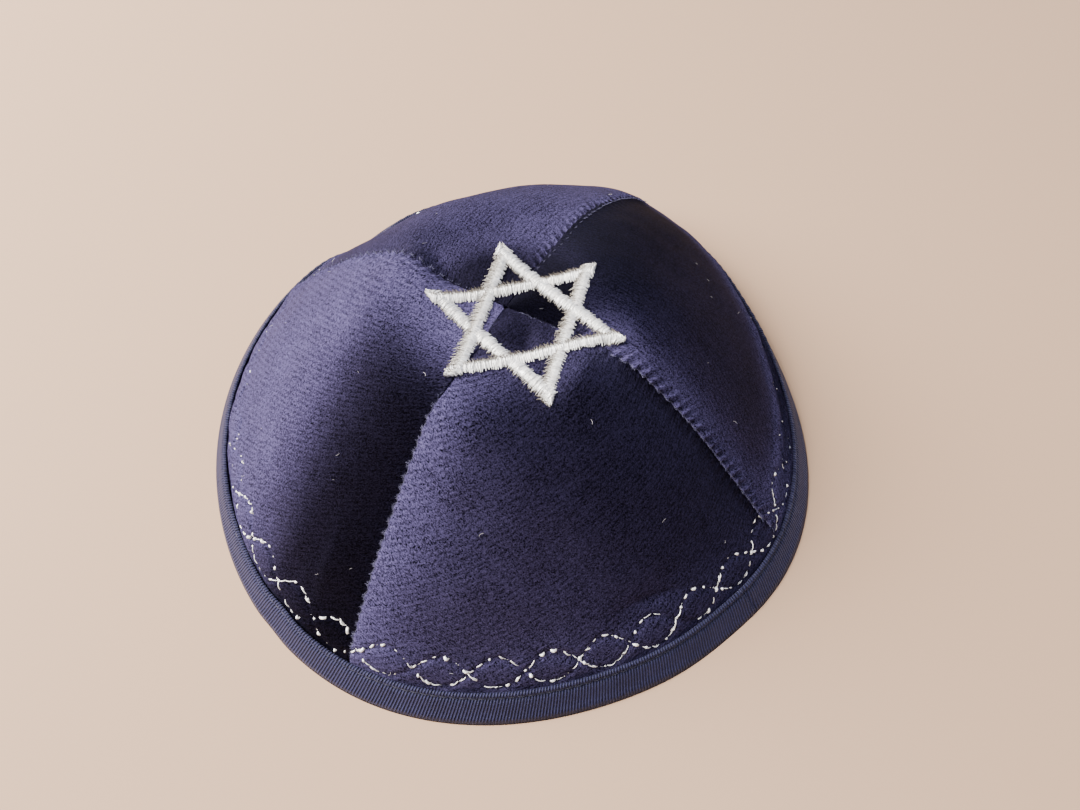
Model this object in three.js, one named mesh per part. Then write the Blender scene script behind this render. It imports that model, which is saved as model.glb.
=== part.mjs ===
// A four-panel kippah skullcap: velvet gores sewn to a crown, a satin binding folded round the rim,
// and a raised satin-stitch hexagram on the crown.
// Millimetres, +Z up. The cap stands on its rim at z = 0, and its front panel faces -Y.

import * as THREE from 'three';

// Driving dimensions

const CLOTH_THICKNESS = 1.6;
const SEAM_GAP = 0.3;
const TAPE_THICKNESS = 0.7;
const TAPE_WIDTH = 7.5;
const TAPE_INNER_WIDTH = 6.6;
const TAPE_CLEARANCE = 0.3;
const STAR_TIP_RADIUS = 24.5;
const STAR_BAND_WIDTH = 3.7;
const STAR_THICKNESS = 0.8;
const STAR_CLEARANCE = 0.4;
const STAR_TURN = -2;
const STAR_CENTRE = new THREE.Vector2(3.3, -2.8);

// The four seams meet here, a little behind the middle of the rim and in the dent of the crown.
const APEX = new THREE.Vector3(0.3, 2.8, 47.2);

// Level sections of the cloth's outer skin, from the floor to the apex.
// Each row gives a height and the radius on eight meridians, from the front-left one round to the left one.
const MERIDIANS = ['fl', 'f', 'fr', 'r', 'br', 'b', 'bl', 'l'];
const FIRST_MERIDIAN = -135;
const SECTIONS = [
  { z: 0.0, fl: 85.2, f: 82.3, fr: 85.0, r: 80.0, br: 85.6, b: 82.6, bl: 82.2, l: 82.9 },
  { z: 4.0, fl: 82.1, f: 78.3, fr: 81.2, r: 78.0, br: 84.2, b: 79.4, bl: 79.3, l: 80.5 },
  { z: 9.0, fl: 78.6, f: 73.4, fr: 76.6, r: 75.4, br: 81.2, b: 74.7, bl: 75.2, l: 76.8 },
  { z: 16.0, fl: 72.8, f: 66.8, fr: 70.2, r: 70.0, br: 76.0, b: 67.9, bl: 69.2, l: 70.4 },
  { z: 24.0, fl: 65.5, f: 59.4, fr: 62.8, r: 62.8, br: 68.2, b: 60.0, bl: 61.6, l: 62.5 },
  { z: 32.0, fl: 56.6, f: 51.6, fr: 55.2, r: 54.2, br: 58.8, b: 52.7, bl: 53.0, l: 53.6 },
  { z: 39.0, fl: 47.6, f: 43.8, fr: 47.4, r: 45.2, br: 48.4, b: 45.0, bl: 45.2, l: 45.0 },
  { z: 44.0, fl: 40.0, f: 37.0, fr: 40.4, r: 37.6, br: 38.6, b: 37.4, bl: 38.2, l: 37.6 },
  { z: 47.5, fl: 33.0, f: 30.0, fr: 33.2, r: 30.0, br: 30.0, b: 29.6, bl: 31.6, l: 30.4 },
  { z: 48.9, fl: 24.5, f: 22.5, fr: 24.5, r: 22.0, br: 22.0, b: 22.0, bl: 24.0, l: 23.0 },
  { z: 48.4, fl: 15.5, f: 15.0, fr: 15.5, r: 15.0, br: 15.0, b: 15.0, bl: 15.5, l: 15.5 },
  { z: 47.6, fl: 7.5, f: 7.5, fr: 7.5, r: 7.5, br: 7.5, b: 7.5, bl: 7.5, l: 7.5 },
  { z: APEX.z, fl: 0, f: 0, fr: 0, r: 0, br: 0, b: 0, bl: 0, l: 0 },
];

// Dents and folds of the soft cloth, each a smooth swell (positive depth) or dip at a place on the plan.
// along and across are its half-lengths up the meridian and round the cap, before it is turned.
const FOLDS = [
  { name: 'front-left shoulder', azimuth: -135, radius: 29, along: 9, across: 14, turn: 0, depth: 1.6 },
  { name: 'back-right slump', azimuth: 50, radius: 25, along: 12, across: 16, turn: 0, depth: -2.6 },
  { name: 'back-left shoulder', azimuth: 138, radius: 29, along: 6, across: 9, turn: 0, depth: 1.6 },
  { name: 'left shoulder', azimuth: 172, radius: 29, along: 7, across: 10, turn: 0, depth: 1.0 },
  { name: 'back-left rim dent', azimuth: 112, radius: 82, along: 22, across: 10, turn: 0, depth: -3.4 },
  { name: 'back-right puff', azimuth: 48, radius: 72, along: 12, across: 10, turn: 0, depth: 1.6 },
  { name: 'front-right rim flat', azimuth: -65, radius: 80, along: 18, across: 13, turn: 0, depth: -1.0 },
  { name: 'bulge before the star', azimuth: -61, radius: 28, along: 7, across: 9, turn: 0, depth: 1.2 },
  { name: 'back arch', azimuth: 95, radius: 27, along: 7, across: 14, turn: 0, depth: -1.4 },
  { name: 'front wrinkle', azimuth: -77, radius: 68, along: 3.5, across: 13, turn: 8, depth: -0.9 },
  { name: 'left rim fold', azimuth: -150, radius: 70, along: 14, across: 4, turn: 0, depth: -0.9 },
];

// The gores in order round the cap. Each runs from its own seam to the next one.
const GORES = [
  { name: 'panel_front', firstSeam: -134, lastSeam: -46.5 },
  { name: 'panel_right', firstSeam: -46.5, lastSeam: 42 },
  { name: 'panel_back', firstSeam: 42, lastSeam: 135 },
  { name: 'panel_left', firstSeam: 135, lastSeam: 226 },
];

// The seam allowance is pressed under the start of each gore, so that edge stands up and the other one dips.
const SEAM_LIFT = 0.7;
const SEAM_DIP = 0.9;
const SEAM_LIFT_REACH = 5;
const SEAM_DIP_REACH = 9;
const FLAT_CROWN_RADIUS = 24;
const FULL_LIFT_RADIUS = 38;
const LIFT_FADE_AT_TAPE = 9;

const PANEL_EDGE = 4.2;
const PANEL_COLUMNS = 18;
const PANEL_ROWS = 22;

// The folded tape's section. up is measured along the wall from the floor, out along the wall's normal.
const TAPE_OUT = TAPE_CLEARANCE + TAPE_THICKNESS;
const TAPE_IN = -CLOTH_THICKNESS - TAPE_CLEARANCE;
const TAPE_SLOT = PANEL_EDGE - TAPE_CLEARANCE;
const TAPE_FLOOR_OUT = 1.4;
const TAPE_SECTION = [
  { up: 2.2, out: TAPE_OUT + 0.1 },
  { up: TAPE_WIDTH - 2.2, out: TAPE_OUT + 0.05 },
  { up: TAPE_WIDTH - 1.5, out: TAPE_OUT - 0.25 },
  { up: TAPE_WIDTH - 0.8, out: TAPE_OUT + 0.15 },
  { up: TAPE_WIDTH, out: TAPE_OUT - 0.3 },
  { up: TAPE_WIDTH - 0.1, out: TAPE_CLEARANCE },
  { up: TAPE_SLOT, out: TAPE_CLEARANCE },
  { up: TAPE_SLOT, out: TAPE_IN },
  { up: TAPE_INNER_WIDTH, out: TAPE_IN },
  { up: TAPE_INNER_WIDTH, out: TAPE_IN - TAPE_THICKNESS },
];
const STAR_ARM_STEPS = 4;
const STAR_CROSS_STEPS = 2;

const VELVET = new THREE.MeshStandardMaterial({ color: 0x17173a, roughness: 0.95, metalness: 0 });
const SATIN = new THREE.MeshStandardMaterial({ color: 0x24264a, roughness: 0.55, metalness: 0 });
const SILVER_THREAD = new THREE.MeshStandardMaterial({ color: 0xd9d7d4, roughness: 0.4, metalness: 0.3 });

// The skin of the cap

const radians = THREE.MathUtils.degToRad;

function cubic(before, start, end, after, t) {
  const slope = (end - before) / 2;
  const nextSlope = (after - start) / 2;
  const bend = 3 * (end - start) - 2 * slope - nextSlope;
  const twist = slope + nextSlope - 2 * (end - start);
  return start + t * (slope + t * (bend + t * twist));
}

// Radius of a section at any azimuth, on a smooth curve through its eight columns.
function sectionRadius(section, azimuth) {
  const count = MERIDIANS.length;
  const place = THREE.MathUtils.euclideanModulo((azimuth - FIRST_MERIDIAN) / (360 / count), count);
  const first = Math.floor(place);
  const column = (offset) => section[MERIDIANS[(first + offset + count) % count]];
  return cubic(column(-1), column(0), column(1), column(2), place - first);
}

function meridianCurve(azimuth) {
  const points = SECTIONS.map((section) => new THREE.Vector2(sectionRadius(section, azimuth), section.z));
  return new THREE.SplineCurve(points);
}

// How far the folds swell the cloth at a place on the plan.
function foldDepth(x, y) {
  let depth = 0;
  for (const fold of FOLDS) {
    const azimuth = radians(fold.azimuth);
    const middle = new THREE.Vector2(Math.cos(azimuth), Math.sin(azimuth)).multiplyScalar(fold.radius);
    const offset = new THREE.Vector2(x, y).sub(middle);
    offset.rotateAround(new THREE.Vector2(), -azimuth - radians(fold.turn));
    depth += fold.depth * Math.exp(-((offset.x / fold.along) ** 2) - (offset.y / fold.across) ** 2);
  }
  return depth;
}

// A point of the cloth at a fraction of the meridian's length, lifted off the skin along its normal.
function clothPoint(azimuth, curve, fraction, lift) {
  const place = curve.getPointAt(fraction);
  const tangent = curve.getTangentAt(fraction);
  const lean = Math.min(place.y / APEX.z, 1);
  const direction = new THREE.Vector2(Math.cos(radians(azimuth)), Math.sin(radians(azimuth)));
  const plan = new THREE.Vector2(APEX.x, APEX.y).multiplyScalar(lean).addScaledVector(direction, place.x);
  const rise = lift + foldDepth(plan.x, plan.y);
  plan.addScaledVector(direction, tangent.y * rise);
  return new THREE.Vector3(plan.x, plan.y, place.y - tangent.x * rise);
}

// Lift of a gore's own edges above the skin: up at its first seam and down at its last one.
function seamLift(radius, height, fromFirst, toLast) {
  const onWall = THREE.MathUtils.smoothstep(radius, FLAT_CROWN_RADIUS, FULL_LIFT_RADIUS);
  const aboveTape = THREE.MathUtils.smoothstep(height, TAPE_WIDTH - 1, TAPE_WIDTH + LIFT_FADE_AT_TAPE);
  const up = SEAM_LIFT * Math.exp(-((fromFirst / SEAM_LIFT_REACH) ** 2));
  const down = SEAM_DIP * Math.exp(-((toLast / SEAM_DIP_REACH) ** 2));
  return onWall * aboveTape * (up - down);
}

// Height of the skin over a place on the crown, where the cloth is nearly level.
function crownHeight(x, y) {
  const arm = new THREE.Vector2(x - APEX.x, y - APEX.y);
  const azimuth = THREE.MathUtils.radToDeg(arm.angle());
  const curve = meridianCurve(azimuth);
  let low = 0.4;
  let high = 1;
  for (let step = 0; step < 24; step += 1) {
    const middle = (low + high) / 2;
    const point = clothPoint(azimuth, curve, middle, 0);
    const reach = Math.hypot(point.x - APEX.x, point.y - APEX.y);
    if (reach > arm.length()) low = middle;
    else high = middle;
  }
  return clothPoint(azimuth, curve, low, 0).z;
}

// Closed meshes

function closedMesh(name, points, triangles, material) {
  const geometry = new THREE.BufferGeometry().setFromPoints(points);
  geometry.setIndex(triangles.flat());
  geometry.computeVertexNormals();
  const mesh = new THREE.Mesh(geometry, material);
  mesh.name = name;
  return mesh;
}

// Azimuths of a gore's columns of points, from its first seam to its last.
function columnAzimuths({ firstSeam, lastSeam }) {
  return Array.from({ length: PANEL_COLUMNS + 1 }, (_, column) => {
    return THREE.MathUtils.lerp(firstSeam, lastSeam, column / PANEL_COLUMNS);
  });
}

// One gore: an outer and an inner grid of cloth that close round the edges and run to a tip at the apex.
function gorePanel({ name, firstSeam, lastSeam }) {
  const points = [];
  const triangles = [];
  const rowLength = PANEL_COLUMNS + 1;
  const sideLength = PANEL_ROWS * rowLength + 1;
  const middle = radians((firstSeam + lastSeam) / 2);
  const halfAngle = radians((lastSeam - firstSeam) / 2);
  const shift = SEAM_GAP / 2 / Math.sin(halfAngle);
  const outward = new THREE.Vector3(Math.cos(middle), Math.sin(middle), 0).multiplyScalar(shift);
  const azimuths = columnAzimuths({ firstSeam, lastSeam });
  const columns = azimuths.map((azimuth) => ({ azimuth, curve: meridianCurve(azimuth) }));
  for (const depth of [0, CLOTH_THICKNESS]) {
    for (let row = 0; row < PANEL_ROWS; row += 1) {
      for (const { azimuth, curve } of columns) {
        const edge = PANEL_EDGE / curve.getLength();
        const fraction = THREE.MathUtils.lerp(edge, 1, row / PANEL_ROWS);
        const radius = curve.getPointAt(fraction).x;
        const up = fraction * curve.getLength();
        const fromFirst = radius * radians(azimuth - firstSeam);
        const toLast = radius * radians(lastSeam - azimuth);
        const lift = seamLift(radius, up, fromFirst, toLast) - depth;
        points.push(clothPoint(azimuth, curve, fraction, lift).add(outward));
      }
    }
    points.push(new THREE.Vector3(APEX.x, APEX.y, APEX.z - depth + foldDepth(APEX.x, APEX.y)).add(outward));
  }
  const inSide = (row, column) => (row < PANEL_ROWS ? row * rowLength + column : sideLength - 1);
  const at = (side, row, column) => side * sideLength + inSide(row, column);
  const quad = (a, b, c, d) => {
    if (a !== b && b !== c && c !== a) triangles.push([a, b, c]);
    if (a !== c && c !== d && d !== a) triangles.push([a, c, d]);
  };
  for (let row = 0; row < PANEL_ROWS; row += 1) {
    for (let column = 0; column < PANEL_COLUMNS; column += 1) {
      quad(at(0, row, column), at(0, row, column + 1), at(0, row + 1, column + 1), at(0, row + 1, column));
      quad(at(1, row, column + 1), at(1, row, column), at(1, row + 1, column), at(1, row + 1, column + 1));
    }
    quad(at(0, row, 0), at(0, row + 1, 0), at(1, row + 1, 0), at(1, row, 0));
    const last = PANEL_COLUMNS;
    quad(at(0, row + 1, last), at(0, row, last), at(1, row, last), at(1, row + 1, last));
  }
  for (let column = 0; column < PANEL_COLUMNS; column += 1) {
    quad(at(0, 0, column + 1), at(0, 0, column), at(1, 0, column), at(1, 0, column + 1));
  }
  return closedMesh(name, points, triangles, VELVET);
}

// The tape: its section is carried round the rim, with the fold pressed flat where it rests.
function rimBinding() {
  const points = [];
  const triangles = [];
  const azimuths = GORES.flatMap((gore) => columnAzimuths(gore).slice(0, PANEL_COLUMNS));
  const stations = azimuths.length;
  const perStation = TAPE_SECTION.length + 2;
  for (const azimuth of azimuths) {
    const curve = meridianCurve(azimuth);
    const length = curve.getLength();
    const direction = new THREE.Vector3(Math.cos(radians(azimuth)), Math.sin(radians(azimuth)), 0);
    const section = TAPE_SECTION.map(({ up, out }) => clothPoint(azimuth, curve, up / length, out));
    const outerFoot = clothPoint(azimuth, curve, 0, 0).addScaledVector(direction, TAPE_FLOOR_OUT).setZ(0);
    const slope = curve.getTangentAt(TAPE_SLOT / length);
    const innerFace = TAPE_IN - TAPE_THICKNESS;
    const floorLine = (innerFace * slope.x) / slope.y;
    const innerFoot = clothPoint(azimuth, curve, floorLine / length, innerFace).setZ(0);
    points.push(outerFoot, ...section, innerFoot);
  }
  for (let station = 0; station < stations; station += 1) {
    const here = station * perStation;
    const next = ((station + 1) % stations) * perStation;
    for (let corner = 0; corner < perStation; corner += 1) {
      const above = (corner + 1) % perStation;
      triangles.push([here + corner, next + corner, next + above]);
      triangles.push([here + corner, next + above, here + above]);
    }
  }
  return closedMesh('rim_binding', points, triangles, SATIN);
}

// Where two lines of the star cross, each given by its normal's direction and its distance from the centre.
function crossing(firstNormal, firstDistance, lastNormal, lastDistance) {
  const [a, b] = [radians(firstNormal), radians(lastNormal)];
  const spread = Math.sin(b - a);
  const x = (firstDistance * Math.sin(b) - lastDistance * Math.sin(a)) / spread;
  const y = (lastDistance * Math.cos(a) - firstDistance * Math.cos(b)) / spread;
  return new THREE.Vector2(x, y).add(STAR_CENTRE);
}

// Cuts a four-sided patch of the plan into small quads, in steps along its first side and across its second.
function cutPatch([a, b, c, d], along, across) {
  const at = (i, j) => a.clone().lerp(b, i / along).lerp(d.clone().lerp(c, i / along), j / across);
  const quads = [];
  for (let i = 0; i < along; i += 1) {
    for (let j = 0; j < across; j += 1) {
      quads.push([at(i, j), at(i + 1, j), at(i + 1, j + 1), at(i, j + 1)]);
    }
  }
  return quads;
}

// Quads of the hexagram on the plan. Each tip brings its two arms, the bar below its opening,
// and the place where that bar crosses the next one.
function starQuads() {
  const outer = STAR_TIP_RADIUS / 2;
  const inner = outer - STAR_BAND_WIDTH;
  const tips = Array.from({ length: 6 }, (_, index) => 90 + STAR_TURN + 60 * index);
  return tips.flatMap((tip) => {
    const [left, right] = [tip + 60, tip - 60];
    const point = crossing(right, outer, left, outer);
    const openingTip = crossing(right, inner, left, inner);
    const [leftNotch, rightNotch] = [crossing(tip, outer, left, outer), crossing(right, outer, tip, outer)];
    const [leftBase, rightBase] = [crossing(tip, outer, left, inner), crossing(right, inner, tip, outer)];
    const [leftCorner, rightCorner] = [crossing(tip, inner, left, inner), crossing(right, inner, tip, inner)];
    const nextBase = crossing(tip, inner, left, outer);
    return [
      ...cutPatch([point, leftNotch, leftBase, openingTip], STAR_ARM_STEPS, STAR_CROSS_STEPS),
      ...cutPatch([rightNotch, point, openingTip, rightBase], STAR_ARM_STEPS, STAR_CROSS_STEPS),
      ...cutPatch([rightBase, leftBase, leftCorner, rightCorner], STAR_CROSS_STEPS, STAR_CROSS_STEPS),
      ...cutPatch([leftBase, leftNotch, nextBase, leftCorner], STAR_CROSS_STEPS, STAR_CROSS_STEPS),
    ];
  });
}

// The hexagram: one raised band with seven openings that follows the crown.
function starEmbroidery() {
  const places = new Map();
  const indexOf = (place) => {
    const key = `${place.x.toFixed(3)} ${place.y.toFixed(3)}`;
    if (!places.has(key)) places.set(key, { index: places.size, place });
    return places.get(key).index;
  };
  const quads = starQuads().map((quad) => quad.map(indexOf));
  const under = [...places.values()].map(({ place: { x, y } }) => {
    return new THREE.Vector3(x, y, crownHeight(x, y) + STAR_CLEARANCE);
  });
  const over = under.map((point) => point.clone().setZ(point.z + STAR_THICKNESS));
  const count = over.length;
  const triangles = [];
  const openEdges = new Map();
  for (const quad of quads) {
    const [a, b, c, d] = quad;
    triangles.push([a, b, c], [a, c, d]);
    triangles.push([count + c, count + b, count + a], [count + d, count + c, count + a]);
    quad.forEach((from, side) => {
      const to = quad[(side + 1) % 4];
      if (!openEdges.delete(`${to} ${from}`)) openEdges.set(`${from} ${to}`, [from, to]);
    });
  }
  for (const [from, to] of openEdges.values()) {
    triangles.push([to, from, count + from], [to, count + from, count + to]);
  }
  return closedMesh('star_embroidery', [...over, ...under], triangles, SILVER_THREAD);
}

// The assembled cap, with the origin under the middle of its outline.

const cap = new THREE.Group();
cap.add(...GORES.map(gorePanel), rimBinding(), starEmbroidery());
const middle = new THREE.Box3().setFromObject(cap).getCenter(new THREE.Vector3());
cap.position.set(-middle.x, -middle.y, 0);

export default cap;
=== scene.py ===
# %% [markdown]
# # A four-panel velvet kippah
# This lesson dresses a small skullcap: four velvet gores, a satin tape round the rim,
# a silver hexagram on the crown and two silver running stitches above the tape.
# The frame below brings in the plain solid model, and every piece made here stands in its place.

# %% Load the frame
import math
import bpy
import numpy as np
from mathutils import Matrix, Vector
from mathutils.bvhtree import BVHTree


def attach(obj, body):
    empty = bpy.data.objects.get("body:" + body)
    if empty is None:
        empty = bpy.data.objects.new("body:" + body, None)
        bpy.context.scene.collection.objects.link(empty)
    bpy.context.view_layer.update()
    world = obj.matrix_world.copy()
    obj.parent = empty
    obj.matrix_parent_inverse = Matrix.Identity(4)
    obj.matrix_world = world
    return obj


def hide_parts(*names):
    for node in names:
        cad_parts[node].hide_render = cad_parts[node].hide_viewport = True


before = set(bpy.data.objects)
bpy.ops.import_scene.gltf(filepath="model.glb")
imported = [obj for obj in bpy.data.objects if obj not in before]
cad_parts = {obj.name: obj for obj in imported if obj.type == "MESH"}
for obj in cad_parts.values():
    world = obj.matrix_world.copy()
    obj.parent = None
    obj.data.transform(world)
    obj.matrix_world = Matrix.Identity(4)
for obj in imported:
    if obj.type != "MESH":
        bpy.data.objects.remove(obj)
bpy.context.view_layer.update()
print("nodes", sorted(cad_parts))

# %% [markdown]
# ## The skin of the cap
# A skullcap is soft, so no simple dome fits it. Its skin is described as a stack of level sections,
# each with a radius on eight meridians, and a short list of dents and folds lies on top of that.
# The numbers are in millimetres and agree with the solid model, so both have the same outline.

# %% Shape tables
MM = 0.001
CLOTH_THICKNESS = 1.6
SEAM_GAP = 0.3
PANEL_EDGE = 4.2
TAPE_FOOT = 1.4
APEX = np.array([0.3, 2.8, 47.2])

# Height, then the radius on eight meridians from the front-left one round to the left one.
FIRST_MERIDIAN = -135
SECTIONS = np.array([
    [0.0, 85.2, 82.3, 85.0, 80.0, 85.6, 82.6, 82.2, 82.9],
    [4.0, 82.1, 78.3, 81.2, 78.0, 84.2, 79.4, 79.3, 80.5],
    [9.0, 78.6, 73.4, 76.6, 75.4, 81.2, 74.7, 75.2, 76.8],
    [16.0, 72.8, 66.8, 70.2, 70.0, 76.0, 67.9, 69.2, 70.4],
    [24.0, 65.5, 59.4, 62.8, 62.8, 68.2, 60.0, 61.6, 62.5],
    [32.0, 56.6, 51.6, 55.2, 54.2, 58.8, 52.7, 53.0, 53.6],
    [39.0, 47.6, 43.8, 47.4, 45.2, 48.4, 45.0, 45.2, 45.0],
    [44.0, 40.0, 37.0, 40.4, 37.6, 38.6, 37.4, 38.2, 37.6],
    [47.5, 33.0, 30.0, 33.2, 30.0, 30.0, 29.6, 31.6, 30.4],
    [48.9, 24.5, 22.5, 24.5, 22.0, 22.0, 22.0, 24.0, 23.0],
    [48.4, 15.5, 15.0, 15.5, 15.0, 15.0, 15.0, 15.5, 15.5],
    [47.6, 7.5, 7.5, 7.5, 7.5, 7.5, 7.5, 7.5, 7.5],
    [47.2, 0.0, 0.0, 0.0, 0.0, 0.0, 0.0, 0.0, 0.0],
])

# Azimuth and radius of the place, half-length up the meridian, half-length round, turn, depth.
FOLDS = {
    "front-left shoulder": (-135, 29, 9, 14, 0, 1.6),
    "back-right slump": (50, 25, 12, 16, 0, -2.6),
    "back-left shoulder": (138, 29, 6, 9, 0, 1.6),
    "left shoulder": (172, 29, 7, 10, 0, 1.0),
    "back-left rim dent": (112, 82, 22, 10, 0, -3.4),
    "back-right puff": (48, 72, 12, 10, 0, 1.6),
    "front-right rim flat": (-65, 80, 18, 13, 0, -1.0),
    "bulge before the star": (-61, 28, 7, 9, 0, 1.2),
    "back arch": (95, 27, 7, 14, 0, -1.4),
    "front wrinkle": (-77, 68, 3.5, 13, 8, -0.9),
    "left rim fold": (-150, 70, 14, 4, 0, -0.9),
}

# First seam, last seam and the angle of the velvet's rows in the gore's own flat layout, in degrees.
GORES = {
    "panel_front": (-134, -46.5, 22),
    "panel_right": (-46.5, 42, 45),
    "panel_back": (42, 135, 45),
    "panel_left": (135, 226, 45),
}

# %% Skin functions


def cubic(before, start, end, after, t):
    slope = (end - before) / 2
    next_slope = (after - start) / 2
    bend = 3 * (end - start) - 2 * slope - next_slope
    twist = slope + next_slope - 2 * (end - start)
    return start + t * (slope + t * (bend + t * twist))


def smoothstep(x, low, high):
    t = np.clip((x - low) / (high - low), 0, 1)
    return t * t * (3 - 2 * t)


def unit(vectors):
    return vectors / np.linalg.norm(vectors, axis=-1, keepdims=True)


def meridians(azimuths, steps=24):
    """Points (radius, height) of the skin's curves at these azimuths, rim to apex, and their lengths."""
    place = (np.asarray(azimuths, float) - FIRST_MERIDIAN) / 45 % 8
    first = np.floor(place).astype(int)
    columns = [SECTIONS[:, 1 + (first + k) % 8].T for k in (-1, 0, 1, 2)]
    radius = cubic(*columns, (place - first)[:, None])
    knots = np.stack([radius, np.broadcast_to(SECTIONS[:, 0], radius.shape)], -1)
    padded = np.concatenate([knots[:, :1], knots, knots[:, -1:]], 1)
    t = np.linspace(0, 1, steps, endpoint=False)[None, None, :, None]
    spans = [padded[:, k:k + len(SECTIONS) - 1, None] for k in range(4)]
    curve = cubic(*spans, t).reshape(len(radius), -1, 2)
    curve = np.concatenate([curve, knots[:, -1:]], 1)
    gaps = np.linalg.norm(np.diff(curve, axis=1), axis=2)
    lengths = np.concatenate([np.zeros((len(radius), 1)), np.cumsum(gaps, 1)], 1)
    return curve, lengths


def along(curve, lengths, up):
    """Place (radius, height) and unit tangent on each curve at lengths up, one row for each curve."""
    slopes = unit(np.gradient(curve, axis=1))
    place = np.empty(up.shape + (2,))
    tangent = np.empty(up.shape + (2,))
    for row in range(len(up)):
        for axis in range(2):
            place[row, :, axis] = np.interp(up[row], lengths[row], curve[row, :, axis])
            tangent[row, :, axis] = np.interp(up[row], lengths[row], slopes[row, :, axis])
    return place, unit(tangent)


def fold_depth(x, y):
    depth = np.zeros(np.shape(x))
    for azimuth, radius, long, wide, turn, deep in FOLDS.values():
        a = math.radians(azimuth)
        b = a + math.radians(turn)
        dx = x - radius * math.cos(a)
        dy = y - radius * math.sin(a)
        u = dx * math.cos(b) + dy * math.sin(b)
        v = dy * math.cos(b) - dx * math.sin(b)
        depth += deep * np.exp(-(u / long) ** 2 - (v / wide) ** 2)
    return depth


def cloth_points(azimuths, place, tangent, lift):
    """Points of the cloth at these places of the skin, lifted along its normal."""
    turn = np.radians(azimuths)[:, None]
    east, north = np.cos(turn), np.sin(turn)
    lean = np.minimum(place[..., 1] / APEX[2], 1)
    x = APEX[0] * lean + east * place[..., 0]
    y = APEX[1] * lean + north * place[..., 0]
    rise = lift + fold_depth(x, y)
    out = tangent[..., 1] * rise
    return np.stack([x + east * out, y + north * out, place[..., 1] - tangent[..., 0] * rise], -1)


RIM_STATIONS = np.concatenate([np.linspace(a, b, 18, endpoint=False) for a, b, _ in GORES.values()])
rim_curve, rim_lengths = meridians(RIM_STATIONS)
rim_place, rim_tangent = along(rim_curve, rim_lengths, np.zeros((len(RIM_STATIONS), 1)))
rim_foot = cloth_points(RIM_STATIONS, rim_place, rim_tangent, 0)[:, 0, :2]
rim_foot += TAPE_FOOT * np.stack([np.cos(np.radians(RIM_STATIONS)), np.sin(np.radians(RIM_STATIONS))], -1)
MIDDLE = np.append((rim_foot.min(0) + rim_foot.max(0)) / 2, 0)
print("middle of the rim, mm", MIDDLE.round(3), "meridian length, mm", rim_lengths[:, -1].mean().round(1))


def placed(points):
    """Points of the tables above, in metres from the middle of the rim."""
    return (np.asarray(points, float) - MIDDLE) * MM


# %% Mesh and material helpers


def mesh_object(name, points, faces, edges=()):
    """A mesh object at the origin from points in the tables' millimetres."""
    mesh = bpy.data.meshes.new(name)
    mesh.from_pydata(placed(points).tolist(), list(edges), [list(map(int, f)) for f in faces])
    mesh.polygons.foreach_set("use_smooth", [True] * len(mesh.polygons))
    mesh.update()
    piece = bpy.data.objects.new(name, mesh)
    bpy.context.scene.collection.objects.link(piece)
    return piece


def grid_faces(rows, columns, start=0, wrap=False):
    """Quads of a grid of points stored row by row; wrap joins the last column to the first."""
    r = np.arange(rows - 1)[:, None]
    c = np.arange(columns if wrap else columns - 1)[None, :]
    n = (c + 1) % columns
    quads = np.stack([r * columns + c, r * columns + n, (r + 1) * columns + n, (r + 1) * columns + c], -1)
    return quads.reshape(-1, 4) + start


def set_uv(piece, uv):
    """Stores a flat layout, given for each point, on the mesh's corners."""
    layer = piece.data.uv_layers.new(name="UVMap")
    corners = np.empty(len(piece.data.loops), dtype=np.int32)
    piece.data.loops.foreach_get("vertex_index", corners)
    layer.data.foreach_set("uv", np.asarray(uv, np.float32)[corners].ravel())


def turned_layout(across, upward, degrees):
    """A flat layout turned by this angle, so that the rows of a cloth can run aslant."""
    c, s = math.cos(math.radians(degrees)), math.sin(math.radians(degrees))
    return np.stack([across * c + upward * s, upward * c - across * s], -1)


def set_values(piece, name, values):
    """Stores a number or a vector for each point."""
    values = np.asarray(values, np.float32)
    kind, field = ("FLOAT_VECTOR", "vector") if values.ndim == 2 else ("FLOAT", "value")
    layer = piece.data.attributes.new(name, kind, "POINT")
    layer.data.foreach_set(field, values.ravel())


def ripple(x, y, seed, size):
    """A smooth random field of about plus or minus one, made of a few crossing waves."""
    pick = np.random.default_rng(seed)
    total = np.zeros(np.shape(x))
    for _ in range(9):
        angle, phase, stretch = pick.uniform(0, 2 * np.pi, 2).tolist() + [pick.uniform(0.7, 1.6)]
        total += np.sin((x * np.cos(angle) + y * np.sin(angle)) * 2 * np.pi / (size * stretch) + phase)
    return total / 3.5


def new_material(name, **values):
    """A material, its nodes and its shader with plain values. An underscore stands for a space."""
    material = bpy.data.materials.new(name)
    material.use_nodes = True
    shader = material.node_tree.nodes["Principled BSDF"]
    for key, value in values.items():
        shader.inputs[key.replace("_", " ")].default_value = value
    return material, material.node_tree, shader


# %% [markdown]
# ## Camera, floor and light
# The cap is seen from above its front edge, a little left of the middle of its front panel.
# A wide soft lamp stands high on the left like a window, and a pale floor sends some light back up.
# A small lamp above gives the silver its glints. The right side has only the weak, cool light of the
# room, so the pile there stays deep and dark.

# %% Camera and floor
VIEW_TURN = math.radians(-17)
DEPRESSION = math.radians(60.5)
ROLL = math.radians(-0.6)
EYE = (-24.46, -107.03, 198.0)


def turned(x, y, z):
    """A direction of the camera's own level frame, turned to the cap's frame."""
    c, s = math.cos(VIEW_TURN), math.sin(VIEW_TURN)
    return Vector((c * x - s * y, s * x + c * y, z))


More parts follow.
